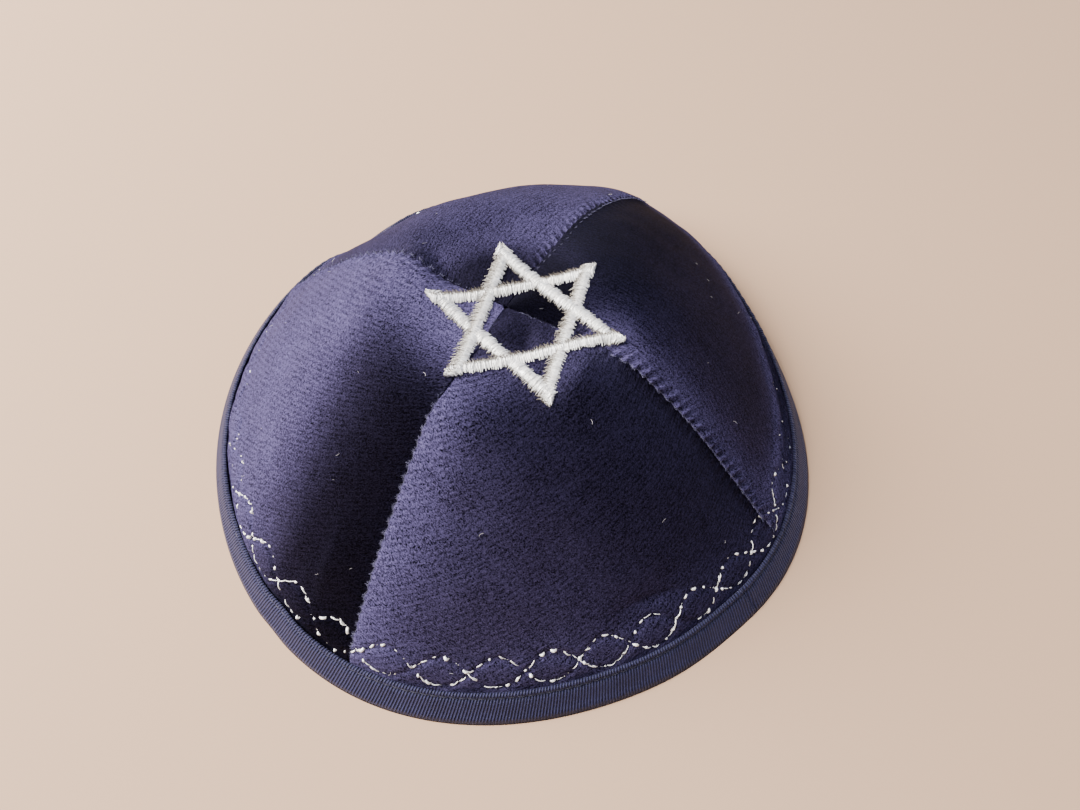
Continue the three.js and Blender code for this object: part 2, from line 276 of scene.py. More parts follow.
right = turned(1, 0, 0)
forward = turned(0, math.cos(DEPRESSION), -math.sin(DEPRESSION))
down = turned(0, -math.sin(DEPRESSION), -math.cos(DEPRESSION))
camera_x = right * math.cos(ROLL) + down * math.sin(ROLL)
camera_y = right * math.sin(ROLL) - down * math.cos(ROLL)
camera = bpy.data.objects.new("camera", bpy.data.cameras.new("camera"))
bpy.context.scene.collection.objects.link(camera)
camera.data.lens = 26.0
camera.data.sensor_width = 36.0
camera.data.clip_start = 0.01
camera.matrix_world = Matrix.Translation(placed(EYE).tolist()) @ Matrix(
    (camera_x, camera_y, -forward)).transposed().to_4x4()
bpy.context.scene.camera = camera

floor = mesh_object("floor", [(-1500, -1500, 0), (1500, -1500, 0), (1500, 1500, 0), (-1500, 1500, 0)],
                    [(0, 1, 2, 3)])
floor_material = new_material("pale floor", Base_Color=(0.42, 0.275, 0.182, 1), Roughness=0.8,
                              Specular_IOR_Level=0.2)[0]
floor.data.materials.append(floor_material)
print("camera at", [round(v, 4) for v in camera.location])

# %% Soft light


def soft_lamp(name, azimuth, elevation, distance, size, watts, tint):
    """A square area lamp that looks at the cap. The azimuth is from the camera's right, anticlockwise."""
    lamp = bpy.data.lights.new(name, "AREA")
    lamp.size = size
    lamp.energy = watts
    lamp.color = tint
    stand = bpy.data.objects.new(name, lamp)
    a, e = math.radians(azimuth), math.radians(elevation)
    way = turned(math.cos(a) * math.cos(e), math.sin(a) * math.cos(e), math.sin(e))
    stand.location = way * distance + Vector((0, 0, 0.02))
    stand.rotation_euler = way.to_track_quat("Z", "Y").to_euler()
    bpy.context.scene.collection.objects.link(stand)


# Azimuth and elevation in degrees, distance and size in metres, watts and tint.
LAMPS = {
    "window": (168, 40, 1.2, 1.0, 93, (1.0, 0.97, 0.93)),
    "ceiling": (262, 70, 1.6, 0.5, 12, (1.0, 0.96, 0.92)),
    "room": (32, 22, 1.6, 1.2, 14, (0.66, 0.74, 1.0)),
}
for name, settings in LAMPS.items():
    soft_lamp(name, *settings)
print("lamps", list(LAMPS))
world = bpy.data.worlds.new("room")
world.use_nodes = True
background = world.node_tree.nodes["Background"].inputs
background["Color"].default_value = (0.80, 0.86, 1.0, 1)
background["Strength"].default_value = 0.12
bpy.context.scene.world = world

# %% [markdown]
# ## Finishes
# Velvet is a dense short pile on a woven ground: it looks dark where the eye meets the pile end on
# and pale where the sides of the fibres show. Two values stored on the cloth stand in for that here:
# the lean of the pile turns the shading, and a painted shading value darkens the dye with painted shade
# or lightens it with painted light, in set zones, under any lamp.
# The rows of the weave and the grain of the pile come from one small group of nodes,
# which the tape uses too, with its own pitch.

# %% Node helpers


def add(tree, kind, inputs=None, **settings):
    """A node with its settings and inputs. An input is a value or another node's output."""
    made = tree.nodes.new(kind)
    for name, value in settings.items():
        setattr(made, name, value)
    for key, value in (inputs or {}).items():
        if isinstance(value, bpy.types.NodeSocket):
            tree.links.new(value, made.inputs[key])
        else:
            made.inputs[key].default_value = value
    return made


def put(tree, kind, inputs=None, **settings):
    """The first output of such a node."""
    return add(tree, kind, inputs, **settings).outputs[0]


def sockets(tree, inputs, outputs):
    """Names the inputs and outputs of a node group and returns its two end nodes."""
    for name, kind, value in inputs:
        socket = tree.interface.new_socket(name=name, in_out="INPUT", socket_type="NodeSocket" + kind)
        if value is not None:
            socket.default_value = value
    for name, kind in outputs:
        tree.interface.new_socket(name=name, in_out="OUTPUT", socket_type="NodeSocket" + kind)
    return add(tree, "NodeGroupInput").outputs, add(tree, "NodeGroupOutput").inputs


def math_node(tree, operation, first, second=0.5, third=0.0):
    return put(tree, "ShaderNodeMath", {0: first, 1: second, 2: third}, operation=operation)


def attribute(tree, name, output="Fac"):
    return add(tree, "ShaderNodeAttribute", attribute_name=name).outputs[output]


def blend(tree, share, low, high, kind="RGBA"):
    """A value or colour between two."""
    inputs = {"Factor": share, "A": low, "B": high}
    return add(tree, "ShaderNodeMix", inputs, data_type=kind).outputs["Result"]


# %% Weave group
weave = bpy.data.node_groups.new("rows and grain", "ShaderNodeTree")
given, result = sockets(
    weave,
    [("Place", "Vector", None), ("Row Pitch", "Float", 1.2), ("Row Wander", "Float", 1.5),
     ("Grain Size", "Float", 0.45), ("Row Share", "Float", 0.4)],
    [("Height", "Float"), ("Tone", "Float")])
row_scale = math_node(weave, "DIVIDE", math.pi / 10, given["Row Pitch"])
rows = add(weave, "ShaderNodeTexWave",
           {"Vector": given["Place"], "Scale": row_scale, "Distortion": given["Row Wander"],
            "Detail": 2.0, "Detail Scale": 1.5}, bands_direction="Y")
grain = add(weave, "ShaderNodeTexNoise",
            {"Vector": given["Place"], "Scale": math_node(weave, "DIVIDE", 1.0, given["Grain Size"]),
             "Detail": 2.0, "Roughness": 0.6})
blotch = add(weave, "ShaderNodeTexNoise", {"Vector": given["Place"], "Scale": 0.09, "Detail": 2.0})
sharp = add(weave, "ShaderNodeMapRange",
            {"Value": grain.outputs["Fac"], "From Min": 0.39, "From Max": 0.64}).outputs["Result"]
speck = add(weave, "ShaderNodeTexVoronoi",
            {"Vector": given["Place"], "Scale": math_node(weave, "DIVIDE", 1.1, given["Grain Size"])})
speck = add(weave, "ShaderNodeSeparateColor", {"Color": speck.outputs["Color"]}).outputs["Red"]
pile = blend(weave, 0.55, sharp, speck, "FLOAT")
pile = math_node(weave, "MULTIPLY_ADD", pile, 1.4, -0.2)
mixed = blend(weave, given["Row Share"], pile, rows.outputs["Fac"], "FLOAT")
weave.links.new(mixed, result["Height"])
tone = math_node(weave, "SUBTRACT", mixed, 0.15)
tone = math_node(weave, "MULTIPLY_ADD", blotch.outputs["Fac"], 0.3, tone)
weave.links.new(tone, result["Tone"])

# %% Materials


def cloth_material(name, dark, pale, pitch, wander, grain_size, row_share, bump, **values):
    """A cloth with rows and grain in its flat layout, which leans with the pile where that is combed."""
    material, tree, shader = new_material(name, **values)
    place = add(tree, "ShaderNodeUVMap", uv_map="UVMap").outputs["UV"]
    rows = add(tree, "ShaderNodeGroup",
               {"Place": place, "Row Pitch": pitch, "Row Wander": wander, "Grain Size": grain_size,
                "Row Share": row_share}, node_tree=weave)
    # Painted shading: the stored value darkens the dye as painted shade, or lightens it as painted light
    # where it is below zero.
    unshaded = math_node(tree, "SUBTRACT", 1.0, attribute(tree, "painted_shading"))
    tone = math_node(tree, "MULTIPLY", rows.outputs["Tone"], unshaded)
    tree.links.new(blend(tree, tone, dark, pale), shader.inputs["Base Color"])
    combed = put(tree, "ShaderNodeVectorTransform", {0: attribute(tree, "lean", "Vector")},
                 vector_type="VECTOR", convert_from="OBJECT", convert_to="WORLD")
    facing = add(tree, "ShaderNodeNewGeometry").outputs["Normal"]
    facing = put(tree, "ShaderNodeVectorMath", {0: facing, 1: combed}, operation="ADD")
    facing = put(tree, "ShaderNodeVectorMath", {0: facing}, operation="NORMALIZE")
    height = rows.outputs["Height"]
    relief = put(tree, "ShaderNodeBump",
                 {"Strength": bump, "Distance": 0.4 * MM, "Height": height, "Normal": facing})
    tree.links.new(relief, shader.inputs["Normal"])
    return material


velvet = cloth_material(
    "navy velvet", dark=(0.0008, 0.0006, 0.0022, 1), pale=(0.079, 0.066, 0.156, 1),
    pitch=1.25, wander=3.0, grain_size=0.36, row_share=0.17, bump=0.3,
    Roughness=0.9, Specular_IOR_Level=0.03, Sheen_Weight=0.012, Sheen_Roughness=0.35,
    Sheen_Tint=(0.62, 0.58, 1.0, 1))
backing = cloth_material(
    "navy backing", dark=(0.008, 0.008, 0.017, 1), pale=(0.02, 0.02, 0.04, 1),
    pitch=0.6, wander=0.2, grain_size=0.5, row_share=0.6, bump=0.4, Roughness=0.9)
satin = cloth_material(
    "navy satin", dark=(0.0025, 0.0025, 0.009, 1), pale=(0.032, 0.031, 0.081, 1),
    pitch=0.72, wander=0.4, grain_size=0.4, row_share=0.8, bump=0.9,
    Roughness=0.5, Specular_IOR_Level=0.15, Sheen_Weight=0.12, Sheen_Roughness=0.4,
    Sheen_Tint=(0.6, 0.6, 1.0, 1))

# Painted shade: silver is tan where a thread starts, on the side of a bar that looks to the back left,
# unless its white spares it.
DULL_SILVER = (0.80, 0.77, 0.75, 1)
BRIGHT_SILVER = (1.0, 1.0, 1.0, 1)
PAINTED_SHADE_TAN = (0.15, 0.13, 0.11, 1)
silver, tree, shader = new_material("silver thread", Metallic=0.2, Coat_Weight=0.7, Coat_Roughness=0.12,
                                    Roughness=0.27, Specular_IOR_Level=0.9)
toned_silver = blend(tree, attribute(tree, "tone"), DULL_SILVER, BRIGHT_SILVER)
run = math_node(tree, "ADD", attribute(tree, "run"), attribute(tree, "white"))
spared = add(tree, "ShaderNodeMapRange", {"Value": run, "From Min": 0.36, "From Max": 0.56})
silver_with_painted_shade = blend(tree, spared.outputs["Result"], PAINTED_SHADE_TAN, toned_silver)
tree.links.new(silver_with_painted_shade, shader.inputs["Base Color"])

navy_thread = new_material("navy thread", Base_Color=(0.02, 0.02, 0.04, 1), Roughness=0.6)[0]
tuft = new_material("pile tuft", Base_Color=(0.050, 0.045, 0.10, 1), Roughness=0.8, Sheen_Weight=0.3,
                    Sheen_Tint=(0.7, 0.68, 1.0, 1))[0]
lint = new_material("lint", Base_Color=(0.38, 0.36, 0.38, 1), Roughness=0.9)[0]
print("materials", [m.name for m in bpy.data.materials])

# %% [markdown]
# ## The velvet gores
# Each gore is cut from velvet, sewn to its neighbours and turned, so the seam allowance lies under
# the start of the next gore: that edge stands up, and the edge before it dips.
# A gore is a grid of points that follows the skin, closed by a second grid for the back of the cloth.
# Small relief is added on the face only: puckers at the seams, a pinch at the tape
# and the quilting that the running stitches pull into the pile.

# %% Gore relief
WAVES = 18
WAVE_CROSSING = -93
WAVE_MIDDLE = 12.2
WAVE_REACH = 4.0
COLUMNS = 160
ROWS = 190
TIP_SHARE = 0.996
ROPE_PITCH = 2.7
ROPE_SLANT = 0.7

# Small dents of the crown and wrinkles of the wall, too slight for the solid model.
# Place on the plan, half-length, half-width, direction in degrees, depth.
DENTS = {
    "ridge below the star": (11.2, -21.3, 9, 3.2, 38, 1.7),
    "hollow beside it": (17.5, -16.5, 8, 3.0, 38, -0.9),
    "swell inside the star": (-1.5, -3.5, 5, 3.0, 20, 0.9),
    "hollow inside the star": (2.2, -9.3, 4, 2.5, 60, -1.1),
    "fold inside the star": (5.5, -7.7, 4, 1.8, 70, 0.6),
    "valley behind the left hump": (-11.0, 18.0, 9, 3.2, -65, -1.8),
    "left hump": (-18.7, 11.6, 16, 5.0, 86, 1.2),
    "front wrinkle": (17.5, -64.0, 8, 0.9, 4, -0.6),
    "front low wrinkle": (-6.5, -69.5, 7, 0.9, -14, -0.5),
    "left fold": (-59.0, -37.0, 9, 1.8, 45, -0.4),
    "left fold's edge": (-56.5, -39.5, 9, 1.8, 45, 0.25),
}


def dents(x, y):
    depth = np.zeros(np.shape(x))
    for east, north, long, wide, angle, deep in DENTS.values():
        a = math.radians(angle)
        u = (x - east) * math.cos(a) + (y - north) * math.sin(a)
        v = (y - north) * math.cos(a) - (x - east) * math.sin(a)
        depth += deep * np.exp(-(u / long) ** 2 - (v / wide) ** 2)
    return depth


# For each gore: how far its first edge stands up, how far its last edge dips, the height of the tufted
# rope on its first edge and the painted shade of its crown, which darkens the dye there.
SEAMS = {
    "panel_front": (0.7, 0.9, 0.12, 0.7),
    "panel_right": (0.7, 0.1, 0.42, 0.85),
    "panel_back": (0.2, 1.1, 0.42, 0.6),
    "panel_left": (0.9, 0.9, 0.28, 0.05),
}


def seam_lift(name, radius, up, from_first, to_last):
    on_wall = smoothstep(radius, 24, 38)
    above_tape = smoothstep(up, 6.5, 16.5)
    raised = SEAMS[name][0] * np.exp(-(from_first / 5) ** 2)
    dipped = SEAMS[name][1] * np.exp(-(to_last / 9) ** 2)
    return on_wall * above_tape * (raised - dipped)


def rope_phase(up, slide=0):
    """Where a place is in the run of tufts along a seam, in radians."""
    return 2 * np.pi * (up + slide) / ROPE_PITCH + 1.3 * ripple(up, up, 6, 13)


def rope(name, up, radius, from_first):
    """Slanting tufts on the edge where a gore was turned, from minus one to one times their height."""
    reach = np.exp(-(from_first / 2.3) ** 2) * smoothstep(up, 9, 14) * smoothstep(radius, 8, 20)
    return SEAMS[name][2] * np.cos(rope_phase(up, ROPE_SLANT * from_first)) * reach


def wave_height(azimuths, sign):
    """Height above the floor, along the wall, of one of the two running-stitch waves."""
    return WAVE_MIDDLE + sign * WAVE_REACH * np.sin(np.radians(WAVES * (azimuths - WAVE_CROSSING)))


def right_side(azimuths):
    """One on the right of the rim, where the stitched channel is pressed in, and zero elsewhere."""
    return np.exp(-((azimuths - 3) / 40) ** 6)


def face_relief(name, azimuths, up, radius, from_first, to_last):
    """Fine relief of the velvet's face, in millimetres."""
    azimuths = azimuths[:, None]
    above_tape = smoothstep(up, 7.5, 12)
    pucker = np.cos(2 * np.pi * up / 2.8 + 0.9 * ripple(up, up, 5, 17))
    relief = above_tape * 0.22 * pucker * np.exp(-to_last / 2.4) * smoothstep(radius, 6, 20)
    relief += rope(name, up, radius, from_first)
    relief -= above_tape * 0.25 * np.exp(-(from_first / 0.8) ** 2) * smoothstep(radius, 2, 12)
    relief += above_tape * 0.4 * np.exp(-to_last / 1.2) * smoothstep(radius, 20, 34)
    relief -= 0.35 * np.exp(-((up - 7.2) / 1.3) ** 2)
    relief += 0.45 * np.exp(-((up - 12.0) / 4.0) ** 2)
    slope = WAVE_REACH * math.radians(WAVES) / np.maximum(radius, 1)
    slope = slope * np.cos(np.radians(WAVES * (azimuths - WAVE_CROSSING)))
    for sign in (1, -1):
        gap = (up - wave_height(azimuths, sign)) / np.sqrt(1 + slope ** 2)
        relief -= 0.5 * np.exp(-(gap / 0.8) ** 2)
    ledge = 0.6 * np.exp(-((up - 16.8) / 2.0) ** 2)
    channel = 0.8 * np.exp(-((up - 11.5) / 2.8) ** 2)
    relief += right_side(azimuths) * (ledge - channel)
    east = APEX[0] + radius * np.cos(np.radians(azimuths))
    north = APEX[1] + radius * np.sin(np.radians(azimuths))
    relief += 0.22 * ripple(east, north, 11, 24) + 0.08 * ripple(east, north, 12, 9)
    return relief


# How the pile is combed: its lean round the cap, its lean up the wall and its painted shading, which
# is painted shade where above zero and painted light where below. Each gore has these all over, at its
# first seam and at its last seam, where a fourth number is the reach in millimetres, and then the share
# that is left at the rim.
COMBED = {
    "panel_front": ((0.25, -0.12, 0.08), (-0.65, 0.0, -0.08, 9), (0.5, 0.0, 0.5, 40), 0.7),
    "panel_right": ((0.0, -1.2, 0.5), (0.0, 1.3, -0.45, 14), (0.0, -0.3, 0.2, 28), -0.6),
    "panel_back": ((0.0, 0.0, 0.42), (0.2, 0.0, -0.15, 12), (-0.3, 0.0, 0.1, 16), 0.3),
    "panel_left": ((-0.3, -0.3, -0.05), (0.0, 0.0, 0.0, 9), (1.5, -0.3, 0.75, 35), 0.95),
}


def combed_pile(name, azimuths, tangent, up, radius, from_first, to_last):
    """Lean of the pile at each point of a gore, as a vector in the cloth's own plane, and its painted
    shading.
    """
    everywhere, first, last, at_rim = COMBED[name]
    near_first = np.exp(-(from_first / first[3]) ** 2) * smoothstep(radius, 10, 26)
    near_last = np.exp(-(to_last / last[3]) ** 3) * smoothstep(radius, 12, 34)
    off_rim = at_rim + (1 - at_rim) * smoothstep(up, 8, 30)
    combed = [(everywhere[k] + first[k] * near_first + last[k] * near_last) * off_rim for k in range(3)]
    round_cap, up_wall, painted_shading = combed
    # Painted shade on the crown and in the pressed channel on the right; the seam's tufts get painted light
    # on their crests and painted shade between them.
    painted_shading = painted_shading + SEAMS[name][3] * (1 - smoothstep(radius, 10, 24))
    painted_shading = painted_shading + 0.9 * right_side(azimuths)[:, None] * np.exp(-((up - 10.5) / 4.2) ** 4)
    painted_shading = np.clip(painted_shading - 0.9 * rope(name, up, radius, from_first), -0.35, 0.88)
    turn = np.radians(azimuths)[:, None]
    x = -np.sin(turn) * round_cap + np.cos(turn) * tangent[..., 0] * up_wall
    y = np.cos(turn) * round_cap + np.sin(turn) * tangent[..., 0] * up_wall
    return np.stack([x, y, tangent[..., 1] * up_wall], -1), painted_shading


# %% Gore helpers


def by_levels(values):
    """Grid values with one row for each azimuth, listed level by level as the points of a mesh are."""
    return np.swapaxes(values, 0, 1).reshape(-1, *values.shape[2:])


def closed_shell(face, back):
    """Points of a cloth's face and back, and the quads of its face, of its edge and of its back."""
    columns, rows = face.shape[:2]
    count = rows * columns
    grid = np.arange(count).reshape(rows, columns)
    border = np.concatenate([grid[0], grid[1:, -1], grid[-1, -2::-1], grid[-2:0:-1, 0]])
    after = np.roll(border, -1)
    edge_quads = np.stack([after, border, border + count, after + count], -1)
    points = np.concatenate([by_levels(face), by_levels(back)])
    return points, grid_faces(rows, columns), edge_quads, grid_faces(rows, columns, count)[:, ::-1]


def edge_tuck(name, up, radius, from_first, to_last):
    """How far the face is drawn back round the cap at its seams, with a scallop for each tuft."""
    scallop = 1.1 * SEAMS[name][2] * (1 + np.cos(rope_phase(up)))
    scallop *= np.exp(-from_first / 1.6) * smoothstep(up, 9, 16) * smoothstep(radius, 10, 30)
    return scallop - 0.35 * np.exp(-to_last / 1.2) * smoothstep(radius, 3, 12)


def cut_size(smooth):
    """Width, length and area, in metres, of the flat cut of a cloth with this smooth grid."""
    round_steps = np.linalg.norm(np.diff(smooth, axis=0), axis=2)
    up_steps = np.linalg.norm(np.diff(smooth, axis=1), axis=2)
    area = (round_steps[:, :-1] * up_steps[:-1]).sum()
    return round_steps.sum(0).max() * MM, up_steps.sum(1).max() * MM, area * MM ** 2


# %% Gore meshes
skin_points = []
skin_faces = []
seam_edges = []
gores = {}
cut_sizes = {}
for name, (first_seam, last_seam, row_angle) in GORES.items():
    azimuths = np.linspace(first_seam, last_seam, COLUMNS + 1)
    curve, lengths = meridians(azimuths)
    share = np.linspace(0, 1, ROWS + 1)[None, :]
    up = PANEL_EDGE + (lengths[:, -1:] * TIP_SHARE - PANEL_EDGE) * share
    place, tangent = along(curve, lengths, up)
    radius = place[..., 0]
    from_first = radius * np.radians(azimuths - first_seam)[:, None]
    to_last = radius * np.radians(last_seam - azimuths)[:, None]
    turn = np.radians(azimuths)[:, None]
    lift = seam_lift(name, radius, up, from_first, to_last)
    lift += dents(APEX[0] + radius * np.cos(turn), APEX[1] + radius * np.sin(turn))
    relief = face_relief(name, azimuths, up, radius, from_first, to_last)
    middle = math.radians((first_seam + last_seam) / 2)
    outward = SEAM_GAP / 2 / math.sin(math.radians((last_seam - first_seam) / 2))
    apart = np.array([math.cos(middle), math.sin(middle), 0]) * outward
    face = cloth_points(azimuths, place, tangent, lift + relief) + apart
    back_round = np.stack([np.sin(turn[:, 0]), -np.cos(turn[:, 0]), 0 * azimuths], -1)
    tuck = edge_tuck(name, up, radius, from_first, to_last)
    face = face + tuck[..., None] * back_round[:, None]
    back = cloth_points(azimuths, place, tangent, lift - CLOTH_THICKNESS) + apart
    points, face_quads, edge_quads, back_quads = closed_shell(face, back)
    piece = mesh_object(name + "_velvet", points, np.concatenate([face_quads, edge_quads, back_quads]))
    piece.data.materials.append(velvet)
    piece.data.materials.append(backing)
    side = np.zeros(len(piece.data.polygons), dtype=np.int32)
    side[len(face_quads) + len(edge_quads):] = 1
    piece.data.polygons.foreach_set("material_index", side)
    flat = by_levels(turned_layout((from_first - to_last) / 2, up, row_angle))
    set_uv(piece, np.concatenate([flat, flat]))
    lean, painted_shading = combed_pile(name, azimuths, tangent, up, radius, from_first, to_last)
    lean, painted_shading = by_levels(lean), by_levels(painted_shading)
    set_values(piece, "lean", np.concatenate([lean, 0 * lean]))
    set_values(piece, "painted_shading", np.concatenate([painted_shading, 0 * painted_shading]))
    skin_faces.append(face_quads + sum(len(p) for p in skin_points))
    skin_points.append(by_levels(face))
    on_edge = np.flatnonzero((up[0] > 9) & (radius[0] > 4))
    first_edge = face[0, on_edge]
    edge_way = unit(np.gradient(first_edge, axis=0))
    edge_side = back_round[0] + [0, 0, 0.5]
    edge_ways = np.repeat(edge_side[None], len(edge_way), 0)
    seam_edges.append((first_edge, np.cross(edge_side, edge_way), edge_ways, up[0, on_edge]))
    gores[name] = piece
    cut_sizes[name] = cut_size(cloth_points(azimuths, place, tangent, lift))
    print(piece.name, "triangles", 2 * len(piece.data.polygons))

SKIN = BVHTree.FromPolygons(np.concatenate(skin_points).tolist(), np.concatenate(skin_faces).tolist())

# %% [markdown]
# ## The rim binding
# A bias strip of satin is folded round the raw edge and stitched through, so its upper edge has a
# small lip above a stitched groove. A section of the folded tape is carried round the rim.
# The ends of the strip meet at one join on the front right, where the tape is a little thicker.

# %% Binding mesh
TAPE_IN = -1.9
TAPE_INNER_FACE = -2.6
TAPE_INNER_WIDTH = 6.6
TAPE_STATIONS = 720
TAPE_RIB_SLANT = 78
SLOT_BOTTOM = 3.9
GROOVE = 6.05
FOOT_RISE = 0.15
RIM_RADIUS = 80
JOIN_AZIMUTH = -59.0

# Distance up the wall and out from it, from the floor up the outside, down the slot and up the inside.
TAPE_SECTION = np.array([
    [0.7, 1.35], [1.4, 1.22], [2.2, 1.12], [3.2, 1.12], [4.2, 1.10], [4.9, 1.06], [5.4, 0.98], [5.8, 0.72],
    [GROOVE, 0.66], [6.3, 0.78], [6.6, 1.08], [6.9, 1.16], [7.2, 1.06], [7.45, 0.78], [7.5, 0.55],
    [7.4, 0.3], [SLOT_BOTTOM, 0.3], [SLOT_BOTTOM, TAPE_IN], [TAPE_INNER_WIDTH, TAPE_IN],
    [TAPE_INNER_WIDTH, TAPE_INNER_FACE], [4.5, TAPE_INNER_FACE]])
OUTER_POINTS = 16

azimuths = np.linspace(-180, 180, TAPE_STATIONS, endpoint=False)
curve, lengths = meridians(azimuths)
round_rim = np.radians(azimuths) * RIM_RADIUS
up = np.repeat(TAPE_SECTION[None, :, 0], TAPE_STATIONS, 0)
out = np.repeat(TAPE_SECTION[None, :, 1], TAPE_STATIONS, 0)
outside = np.zeros(len(TAPE_SECTION))
outside[:OUTER_POINTS - 1] = 1
near_edge = outside * smoothstep(TAPE_SECTION[:, 0], 3, 7)
off_floor = outside * smoothstep(TAPE_SECTION[:, 0], 0, 2)
pull = np.cos(WAVES * 10 * np.radians(azimuths) + 1.2 * ripple(azimuths, azimuths, 3, 40))
up += (0.10 * pull + 0.16 * ripple(azimuths, 0 * azimuths, 7, 30))[:, None] * near_edge
out += (0.07 * pull)[:, None] * near_edge
out += 0.10 * ripple(azimuths, 0 * azimuths, 8, 21)[:, None] * off_floor
from_join = azimuths - JOIN_AZIMUTH
join = np.exp(-(from_join / 2.4) ** 2) - 1.5 * np.exp(-(from_join / 0.35) ** 2)
out += 0.28 * join[:, None] * outside
place, tangent = along(curve, lengths, up)
section = cloth_points(azimuths, place, tangent, out)
lowest = FOOT_RISE * outside * np.arange(1, len(TAPE_SECTION) + 1)
section[..., 2] = np.maximum(section[..., 2], lowest)
foot_place, foot_tangent = along(curve, lengths, np.zeros((TAPE_STATIONS, 1)))
compass = np.stack([np.cos(np.radians(azimuths)), np.sin(np.radians(azimuths)), 0 * azimuths], -1)
outer_foot = cloth_points(azimuths, foot_place, foot_tangent, 0)[:, 0] + TAPE_FOOT * compass
outer_foot[:, 2] = 0
_, low_tangent = along(curve, lengths, np.full((TAPE_STATIONS, 1), SLOT_BOTTOM))
floor_line = TAPE_INNER_FACE * low_tangent[..., 0] / low_tangent[..., 1]
inner_place, inner_tangent = along(curve, lengths, floor_line)
inner_foot = cloth_points(azimuths, inner_place, inner_tangent, TAPE_INNER_FACE)[:, 0]
inner_foot[:, 2] = 0
section = np.concatenate([outer_foot[:, None], section, inner_foot[:, None]], 1)
per_station = section.shape[1]
loop_quads = grid_faces(per_station, TAPE_STATIONS, wrap=True)
points = by_levels(section)
base_row = np.arange(TAPE_STATIONS)
base_next = np.roll(base_row, -1)
top_row = (per_station - 1) * TAPE_STATIONS
sole = np.stack([top_row + base_row, top_row + base_next, base_next, base_row], -1)
binding = mesh_object("rim_binding_satin", points, np.concatenate([loop_quads, sole]))
binding.data.materials.append(satin)
gaps = np.linalg.norm(np.diff(section, axis=1), axis=2)
lay = np.concatenate([np.zeros((TAPE_STATIONS, 1)), np.cumsum(gaps, 1)], 1)
set_uv(binding, by_levels(turned_layout(round_rim[:, None], lay, TAPE_RIB_SLANT)))
print(binding.name, "triangles", 2 * len(binding.data.polygons))

# %% [markdown]
# ## Stitches that follow a path
# Every stitch on the cap is a short thread that rises out of the cloth, bows over and dives back.
# One node tree makes them all: it takes a path, steps along it and lays a bowed thread at each step.
# The path's points say which way a thread lies, how long it is and which way is up.

# %% Stitch tree
stitch_tree = bpy.data.node_groups.new("stitches along a path", "GeometryNodeTree")
given, result = sockets(
    stitch_tree,
    [("Path", "Geometry", None), ("Pitch", "Float", 0.001), ("Thread Length", "Float", 0.003),
     ("Thread Radius", "Float", 0.0002), ("Bow", "Float", 0.0005), ("Length Change", "Float", 0.1),
     ("Thickness Change", "Float", 0.1), ("Turn Change", "Float", 0.05), ("Sink", "Float", 0.0),
     ("Bends", "Int", 6), ("Sides", "Int", 6), ("Seed", "Int", 1), ("Material", "Material", None)],
    [("Geometry", "Geometry")])


def random_value(tree, low, high, seed, shift):
    """A random number for each point; shift sets its own series apart from the others."""
    own_seed = math_node(tree, "ADD", seed, float(shift))
    made = add(tree, "FunctionNodeRandomValue", {2: low, 3: high, "Seed": own_seed}, data_type="FLOAT")
    return made.outputs[1]


def random_change(tree, given, name, shift):
    """A random number for each point, up to the named input either way."""
    return random_value(tree, opposite(tree, given[name]), given[name], given["Seed"], shift)


def named(tree, name, kind):
    return put(tree, "GeometryNodeInputNamedAttribute", {"Name": name}, data_type=kind)


def xyz(tree, x=0.0, y=0.0, z=0.0):
    return put(tree, "ShaderNodeCombineXYZ", {0: x, 1: y, 2: z})


def opposite(tree, value):
    return math_node(tree, "MULTIPLY", value, -1.0)


tree = stitch_tree
path = put(tree, "GeometryNodeMeshToCurve", {"Mesh": given["Path"]})
steps = put(tree, "GeometryNodeResampleCurve",
            {"Curve": path, "Length": given["Pitch"]}, mode="LENGTH")
half = math_node(tree, "MULTIPLY", given["Thread Length"], 0.5)
crest = math_node(tree, "MULTIPLY", given["Bow"], 2.0)
thread_line = put(tree, "GeometryNodeCurveQuadraticBezier", {
    "Resolution": given["Bends"], "Start": xyz(tree, opposite(tree, half)),
    "Middle": xyz(tree, z=crest), "End": xyz(tree, half)})
ring = add(tree, "GeometryNodeCurvePrimitiveCircle",
           {"Resolution": given["Sides"], "Radius": given["Thread Radius"]})
progress = add(tree, "GeometryNodeSplineParameter").outputs["Factor"]
thread_line = put(tree, "GeometryNodeStoreNamedAttribute",
                  {"Geometry": thread_line, "Name": "run", "Value": progress},
                  data_type="FLOAT", domain="POINT")
thread = put(tree, "GeometryNodeCurveToMesh",
             {"Curve": thread_line, "Profile Curve": ring.outputs[0], "Fill Caps": True})
lay = named(tree, "lay", "FLOAT_VECTOR")
upward = named(tree, "up", "FLOAT_VECTOR")
facing = put(tree, "FunctionNodeAlignRotationToVector", {"Vector": lay}, axis="X")
facing = put(tree, "FunctionNodeAlignRotationToVector",
             {"Rotation": facing, "Vector": upward}, axis="Z", pivot_axis="X")
turn = random_change(tree, given, "Turn Change", 1)
sway = put(tree, "FunctionNodeEulerToRotation", {0: xyz(tree, z=turn)})
facing = put(tree, "FunctionNodeRotateRotation",
             {"Rotation": facing, "Rotate By": sway}, rotation_space="LOCAL")
longer = random_change(tree, given, "Length Change", 2)
reach = math_node(tree, "DIVIDE", named(tree, "span", "FLOAT"), given["Thread Length"])
reach = math_node(tree, "MULTIPLY", reach, math_node(tree, "ADD", longer, 1.0))
thicker = math_node(tree, "ADD", random_change(tree, given, "Thickness Change", 3), 1.0)
size = xyz(tree, reach, thicker, thicker)
drop = random_value(tree, 0.0, given["Sink"], given["Seed"], 4)
below = put(tree, "ShaderNodeVectorMath", {0: upward, "Scale": opposite(tree, drop)},
            operation="SCALE")
